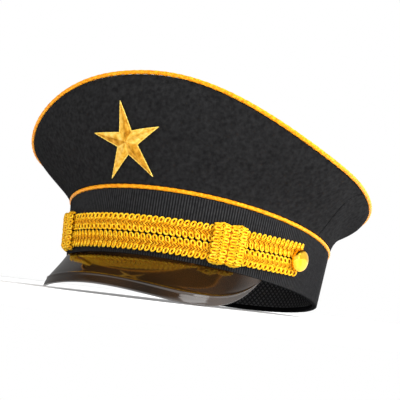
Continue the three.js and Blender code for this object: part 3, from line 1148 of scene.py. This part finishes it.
# %% One row of braid
loop_cord = 0.6
loop_half_width = 1.2
loop_half_height = 1.5
loop_lift = 0.1
loop_slant = 0.3
loop_tilt = 0.28
loop_overlap = 0.25
leg_run = 0.62
leg_cross = 0.15
leg_reach = 2.1
leg_fall = 0.35
leg_cords = {0.0: 0.58, 0.5: 0.4}
leg_lifts = {0.0: 0.62, 0.5: 0.3}
row_tape = 0.74
row_tape_depth = 0.55
row_wander = 0.03
lift_wander = 0.12
wander_rate = 0.45


def braid_row(name, side, node):
    point_way = 1 if side > 0 else -1
    high = row_height / 2 - loop_half_height - loop_cord + loop_overlap
    loops = [
        cord_loop(f"{name}_{edge}", (loop_pitch / 2, edge * high, loop_lift),
                  loop_half_width, loop_half_height, loop_cord, loop_tilt * point_way)
        for edge in (-1, 1)
    ]
    plait = []
    for share, cord in leg_cords.items():
        start = share * loop_pitch
        end = start + point_way * loop_pitch * leg_run
        for edge in (-1, 1):
            plait.append(cord_leg(
                f"{name}_leg", (start, -leg_cross * edge, leg_lifts[share]),
                (end, leg_reach * edge, leg_lifts[share] - leg_fall), cord,
            ))
    row = join(*loops)
    row.name = name
    row.data.materials.append(braid_gold)
    plait = join(*plait)
    # The lower legs take the darker gold, as painted shade.
    plait.data.materials.append(plait_gold_painted_shade)
    tape_height = row_height * row_tape
    row = join(row, plait, backing_tape(
        name, loop_pitch, tape_height, (0, tape_height / 2), row_tape_depth, columns=2, rows=6,
    ))
    repeat(row, loop_count, (loop_pitch, 0, 0))
    shift = side * (row_height + row_gap) / 2

    def on_strap(x, y, z):
        turn = strap_turn_at(x + point_way * loop_slant * abs(y))
        own_noise = side * 7 + (3 if y > 0 else 0)
        wander = noise.noise(Vector((x * wander_rate, own_noise, 0)))
        height = strap_middle(turn) + shift + y * (1 + row_wander * wander)
        lift = gap + row_thickness / 2 + z + lift_wander * wander
        return band_at_height(turn, height, lift)

    lay(row, on_strap)
    dress(row, None, "gold_braid", node, smooth_angle=80)


braid_row("lower_gimp_braid", -1, "braid_lower")
braid_row("upper_gimp_braid", 1, "braid_upper")

# %% [markdown]
# Slides. On each side a pair of upright gimps is wrapped round both rows, over the front and
# behind the top and bottom edges. Their loops lie sideways, close together, and each gimp is
# fuller along its middle.

# %% Braid slides
slide_width = 21.2
slide_overhang = 2.2
slide_thickness = 2.8
slide_pitch_wanted = 3.5
slide_corner = 2.2
slide_bow = 0.8
slide_cord = 0.6
slide_loop_shift = 0.1
slide_loop_sink = 0.2
slide_loop_gap = 0.05
slide_leg_reach = 2.2
slide_leg_fall = 0.35
slide_leg_lap = 0.3
slide_leg_cords = {0.0: 0.62, 0.5: 0.45}
slide_tape = 0.9
slide_tape_depth = 0.45
slide_wander = 0.25
slide_wander_rate = 0.4
slide_half = strap_height / 2 + gap + slide_overhang - slide_thickness / 2
slide_face = gap + row_thickness + gap + slide_thickness / 2
slide_foot = gap + slide_thickness / 2
slide_angles = {"left": 40, "right": -35.2}

bend_length = slide_corner * math.pi / 2
side_length = slide_face - slide_foot - slide_corner
front_length = 2 * (slide_half - slide_corner)
wrap_length = 2 * (side_length + bend_length) + front_length
slide_repeats = round(wrap_length / slide_pitch_wanted)
slide_pitch = wrap_length / slide_repeats


def on_wrap(along):
    """Out from the band and up from the strap's middle, and the outward direction there."""
    mirrored = along > wrap_length / 2
    length = wrap_length - along if mirrored else along
    if length < side_length:
        spot = (slide_foot + length, -slide_half)
        facing_way = (0, -1)
    elif length < side_length + bend_length:
        bend = (length - side_length) / slide_corner
        spot = (
            slide_face - slide_corner + slide_corner * math.sin(bend),
            -slide_half + slide_corner - slide_corner * math.cos(bend),
        )
        facing_way = (math.sin(bend), -math.cos(bend))
    else:
        up = length - side_length - bend_length
        spot = (slide_face, -slide_half + slide_corner + up)
        facing_way = (1, 0)
    flip = -1 if mirrored else 1
    return spot[0], spot[1] * flip, facing_way[0], facing_way[1] * flip


def braid_slide(side, angle):
    name = f"{side}_braid_slide"
    column_width = slide_width / 2
    parts = []
    half = slide_pitch / 2
    loop_reach = column_width / 4
    for column in (-1, 1):
        centre = column * column_width / 2
        for edge in (-1, 1):
            middle = (centre + edge * (loop_reach + slide_loop_shift), half, -slide_loop_sink)
            parts.append(cord_loop(
                f"{name}_loop", middle, loop_reach - slide_cord - slide_loop_shift,
                half - slide_cord - slide_loop_gap, slide_cord,
            ))
            for share, cord in slide_leg_cords.items():
                start = share * slide_pitch
                parts.append(cord_leg(
                    f"{name}_leg", (centre - slide_loop_shift * edge, start + half, slide_leg_fall),
                    (centre + slide_leg_reach * edge, start - slide_leg_lap, 0.0), cord,
                ))
    slide = join(*parts)
    slide.name = name
    slide.data.materials.append(braid_gold)
    tape_width = slide_width * slide_tape
    slide = join(slide, backing_tape(
        name, tape_width, slide_pitch, (tape_width / 2, 0), slide_tape_depth, columns=12, rows=3,
    ))
    repeat(slide, slide_repeats, (0, slide_pitch, 0))
    middle_turn = from_front(angle)
    radius = (rim_width + rim_length) / 4 + slide_face

    def round_strap(x, y, z):
        out, up, out_way, up_way = on_wrap(y)
        turn = middle_turn + x / radius
        bow = slide_bow * (abs(math.sin(x / column_width * math.pi)) - 0.5)
        wander = noise.noise(Vector((x * slide_wander_rate, y * slide_wander_rate, angle)))
        lift = z + bow + wander * slide_wander
        height = strap_middle(turn) + up + up_way * lift
        return band_at_height(turn, height, out + out_way * lift)

    lay(slide, round_strap)
    dress(slide, None, "gold_braid", f"slide_{side}", smooth_angle=80)


for side, angle in slide_angles.items():
    braid_slide(side, angle)

# %% [markdown]
# Buttons. A pressed brass button holds each end of the strap. It starts as a cylinder; its top
# face is extruded and drawn in step by step along a flat-topped dome, and its foot is bevelled.

# %% Gilt buttons
button_diameter = 14
button_height = 4.5
button_foot = 1.1
button_angle = 71
button_edge_roundness = 0.35
dome_steps = 9
dome_fullness = 0.78
dome_rise = 0.9


def gilt_button(side, sign):
    radius = button_diameter / 2
    choose()
    bpy.ops.mesh.primitive_cylinder_add(vertices=48, radius=radius, depth=button_foot)
    button = settle(f"{side}_gilt_button", place=(0, 0, button_foot / 2))
    pick(button, lambda co: co.z > button_foot - nearly)
    width = 1.0
    height = button_foot
    for step in range(1, dome_steps + 1):
        bend = step / (dome_steps + 1) * math.pi / 2
        rise = button_foot + (button_height - button_foot) * math.sin(bend) ** dome_rise
        bpy.ops.mesh.extrude_region_move(
            TRANSFORM_OT_translate={"value": (0, 0, rise - height)},
        )
        narrower = math.cos(bend) ** dome_fullness
        bpy.ops.transform.resize(value=(narrower / width,) * 2 + (1,), center_override=(0, 0, rise))
        width = narrower
        height = rise
    bpy.ops.mesh.inset(thickness=radius * width / 2)
    bpy.ops.mesh.poke()
    bpy.ops.object.mode_set(mode="OBJECT")
    round_edges(button, button_edge_roundness, sharper_than=60)
    turn = from_front(sign * button_angle)
    share = strap_middle(turn) / band_rise(turn)
    out = surface_normal(band_point, turn, share)
    foot_place = band_point(turn, share) + out * (gap + row_thickness + gap)
    upright = out.to_track_quat("Z", "Y").to_matrix()

    def on_strap_end(x, y, z):
        return foot_place + upright @ Vector((x, y, z))

    lay(button, on_strap_end)
    dress(button, gilt_brass, "gilt_button", f"button_{side}", smooth_angle=50)


gilt_button("left", 1)
gilt_button("right", -1)

# %% [markdown]
# Star. A plain five-point star is embroidered on the front of the crown over a padded shape
# that rises to ridges. The padding is a ten-sided circle with every other corner drawn in; the
# satin stitches are one short strand, copied across each half of each arm. Some half arms get a
# darker copy of the gold: painted shade for thread that lies across the light. A bright cord is
# couched round the outline.

# %% Star padding
star_radius = 24.1
star_inner_share = 0.29
star_lift = 25.6
star_turn = math.radians(5.2)
star_edge = 0.8
star_relief = 1.4
star_corners = 10
stitch_radius = 0.27
edging_radius = 0.34
edging_lengths = 8
edging_overlap = 0.15
arm_trims = {
    0: {"turn": 4.8, "reach": 0.965},
    1: {"turn": 1.2, "reach": 0.95},
    2: {"turn": -2.2, "reach": 1.0},
    4: {"turn": -2.6, "reach": 0.99},
}
# The half arms that get the painted shade.
painted_shade_halves = {(0, -1), (2, -1), (2, 1), (4, 1)}
front_chord = (crown_edge(front_turn) - band_point(front_turn, 1)).length


def on_crown_front(right, up):
    share = (star_lift + up) / front_chord
    turn = front_turn
    for _ in range(4):
        after = crown_wall(turn + sample_step, share).x
        before = crown_wall(turn - sample_step, share).x
        turn += (right - crown_wall(turn, share).x) / ((after - before) / (2 * sample_step))
    return crown_wall(turn, share), surface_normal(crown_wall, turn, share)


def spot_at(reach, bearing):
    return Vector((reach * math.cos(bearing), reach * math.sin(bearing), 0))


def corner_bearing(index):
    return math.pi / 2 + star_turn - index * full_turn / star_corners


def star_corner(index):
    return spot_at(star_radius * (star_inner_share if index % 2 else 1), corner_bearing(index))


choose()
bpy.ops.mesh.primitive_circle_add(vertices=star_corners, radius=star_radius, fill_type="TRIFAN")
star = settle("embroidered_star", turned=(0, 0, star_turn))


def is_notch(co):
    bearing = (math.atan2(co.y, co.x) - star_turn - math.pi / 2) / (full_turn / star_corners)
    return co.length > 1 and round(bearing) % 2 == 1


pick(star, is_notch)
bpy.ops.transform.resize(value=(star_inner_share, star_inner_share, 1), center_override=(0, 0, 0))
pick(star, lambda co: co.length < 1)
bpy.ops.transform.translate(value=(0, 0, star_relief))
bpy.ops.mesh.select_all(action="SELECT")
bpy.ops.mesh.subdivide(number_cuts=6)
bpy.ops.object.mode_set(mode="OBJECT")
for vertex in star.data.vertices:
    vertex.co.z -= stitch_radius
thicken(star, star_edge - stitch_radius)
star.data.materials.append(star_gold)
print("star padding", len(star.data.vertices), "points")

# %% Satin stitches
stitch_pitch = 0.46
stitch_slant = math.radians(62)
notch = spot_at(star_radius * star_inner_share, full_turn / star_corners)


def stitch_reach(start):
    """Length of a stitch from the arm's ridge to the valley or the edge, whichever is first."""
    rise = math.sin(stitch_slant)
    run = math.cos(stitch_slant)
    edge_slope = notch.y / (notch.x - star_radius)
    valley = start * notch.y / (rise * notch.x - run * notch.y)
    edge = edge_slope * (start - star_radius) / (rise - edge_slope * run)
    return min(valley, edge)


def padding_height(spot):
    """Height of the padding over a point of one half arm, from its three corners."""
    toward_tip = (spot.x - spot.y * notch.x / notch.y) / star_radius
    return star_relief * (1 - toward_tip - spot.y / notch.y)


stitch = cord_leg("stitch", (0, 0, 0), (1, 0, 0), 1)
stitch.data.materials.append(star_gold)
stitches = []
stitch_number = round(star_radius / stitch_pitch)
for arm in range(star_corners // 2):
    turned = Matrix.Rotation(corner_bearing(2 * arm), 4, "Z")
    for half in (-1, 1):
        mirror = Matrix.Diagonal((1, half, 1, 1))
        for number in range(1, stitch_number):
            ridge = Vector((number * star_radius / stitch_number, 0, 0))
            end = ridge + spot_at(stitch_reach(ridge.x), stitch_slant)
            ridge.z = padding_height(ridge)
            end.z = padding_height(end)
            way = end - ridge
            facing_end = way.to_track_quat("X", "Z").to_matrix().to_4x4()
            size = Matrix.Diagonal((way.length + stitch_radius, stitch_radius, stitch_radius, 1))
            placed = Matrix.Translation(ridge) @ facing_end @ size
            stitches.append(copy_of(stitch, turned @ mirror @ placed))
            # Painted shade: these half arms take the darker gold.
            if (arm, half) in painted_shade_halves:
                stitches[-1].data.materials[0] = star_gold_painted_shade
bpy.data.objects.remove(stitch)
print("star", len(stitches), "stitches")

# %% Star outline
edging = []
for index in range(star_corners):
    first = star_corner(index)
    second = star_corner(index + 1)
    for number in range(edging_lengths):
        edging.append(cord_leg(
            "edging", first.lerp(second, (number - edging_overlap) / edging_lengths),
            first.lerp(second, (number + 1 + edging_overlap) / edging_lengths), edging_radius,
        ))
        edging[-1].data.materials.append(star_edging)
star = join(star, *stitches, *edging)


def arm_trimmed(x, y):
    """Hand sewing is never quite regular: each arm turns and ends a little off its place."""
    reach = math.hypot(x, y)
    bearing = math.atan2(y, x)
    arm_step = 2 * full_turn / star_corners
    turned = 0.0
    longer = 1.0
    for arm, trim in arm_trims.items():
        away = abs(math.remainder(bearing - corner_bearing(2 * arm), full_turn)) / arm_step
        weight = math.cos(min(away, 1) * math.pi / 2) ** 2 * reach / star_radius
        turned += math.radians(trim["turn"]) * weight
        longer += (trim["reach"] - 1) * weight
    return reach * longer * math.cos(bearing + turned), reach * longer * math.sin(bearing + turned)


def on_star_place(x, y, z):
    point, normal = on_crown_front(*arm_trimmed(x, y))
    return point + normal * (gap + star_edge + z)


lay(star, on_star_place)
dress(star, None, "star_thread", "star", smooth_angle=60)

# %% [markdown]
# Studio. The hat stands on a pale floor against white, under a large soft light from the front,
# a stronger one from the right, one overhead and one behind. Nothing shiny mirrors these; two
# small lights make the glints on the buttons. What the hat itself sees of the surround is dark
# overhead, where the visor looks, and dim behind on the left. Standard colour keeps the golds
# saturated.

# %% Floor and lights
bpy.context.scene.view_settings.view_transform = "Standard"

choose()
bpy.ops.mesh.primitive_plane_add(size=4)
floor = bpy.context.object
floor.name = "pale_floor"
floor_finish, floor_tree, floor_shader = new_finish(
    "pale floor", Roughness=0.9, Emission_Color=(1, 1, 1, 1), Emission_Strength=0.25,
)
floor_noise = noise_on(floor_tree, coordinates(floor_tree, "Object"), 3, 2)
colour_by(floor_tree, floor_shader, floor_noise, (0.3, (0.66,) * 3), (0.7, (0.68,) * 3))
floor.data.materials.append(floor_finish)


def soft_light(name, place, size, power, mirrored=False):
    choose()
    bpy.ops.object.light_add(type="AREA", location=place)
    light = bpy.context.object
    light.name = name
    light.data.size = size
    light.data.energy = power
    light.visible_glossy = mirrored
    toward_light = Vector(place) - camera_aim
    light.rotation_euler = toward_light.to_track_quat("Z", "Y").to_euler()


soft_light("key_light", (0.3, -1.6, 1.2), 1.8, 22)
soft_light("top_light", (0.2, -0.3, 1.9), 0.8, 18)
soft_light("side_light", (1.6, 0.1, 0.8), 1.2, 58)
soft_light("back_light", (0.5, 1.5, 1.3), 1.2, 30)
soft_light("high_glint", (0.92, -0.28, 0.7), 0.35, 0.9, True)
soft_light("low_glint", (1.15, -0.35, 0.2), 0.3, 0.9, True)

# %% The surround
dim_turn = 0.85
behind_left = Vector((-math.sin(camera_azimuth + dim_turn), math.cos(camera_azimuth + dim_turn), 0))

studio = bpy.data.worlds.new("studio")
bpy.context.scene.world = studio
studio.use_nodes = True
sky_tree = studio.node_tree
direction = add_node(sky_tree, "ShaderNodeTexCoord").outputs["Generated"]
upward = add_node(sky_tree, "ShaderNodeSeparateXYZ", Vector=direction).outputs["Z"]
overhead_dark = ramp_of(sky_tree, upward, (0.5, (1, 1, 1)), (0.72, (0.12,) * 3))
leftward = add_node(sky_tree, "ShaderNodeVectorMath", operation="DOT_PRODUCT")
leftward.inputs[1].default_value = behind_left
sky_tree.links.new(direction, leftward.inputs[0])
dimming = add_node(
    sky_tree, "ShaderNodeMapRange", Value=leftward.outputs["Value"],
    From_Min=0.25, From_Max=0.75, To_Min=1.1, To_Max=0.2,
)
surround = set_up(
    sky_tree, sky_tree.nodes["Background"], Color=overhead_dark,
    Strength=dimming.outputs["Result"],
)
white = add_node(sky_tree, "ShaderNodeBackground", Color=(1, 1, 1, 1))
seen = add_node(sky_tree, "ShaderNodeLightPath").outputs["Is Camera Ray"]
either = add_node(sky_tree, "ShaderNodeMixShader", Fac=seen)
for socket, source in ((1, surround), (2, white)):
    sky_tree.links.new(source.outputs["Background"], either.inputs[socket])
set_up(sky_tree, sky_tree.nodes["World Output"], Surface=either.outputs["Shader"])
print("studio has", len(sky_tree.nodes), "world nodes")
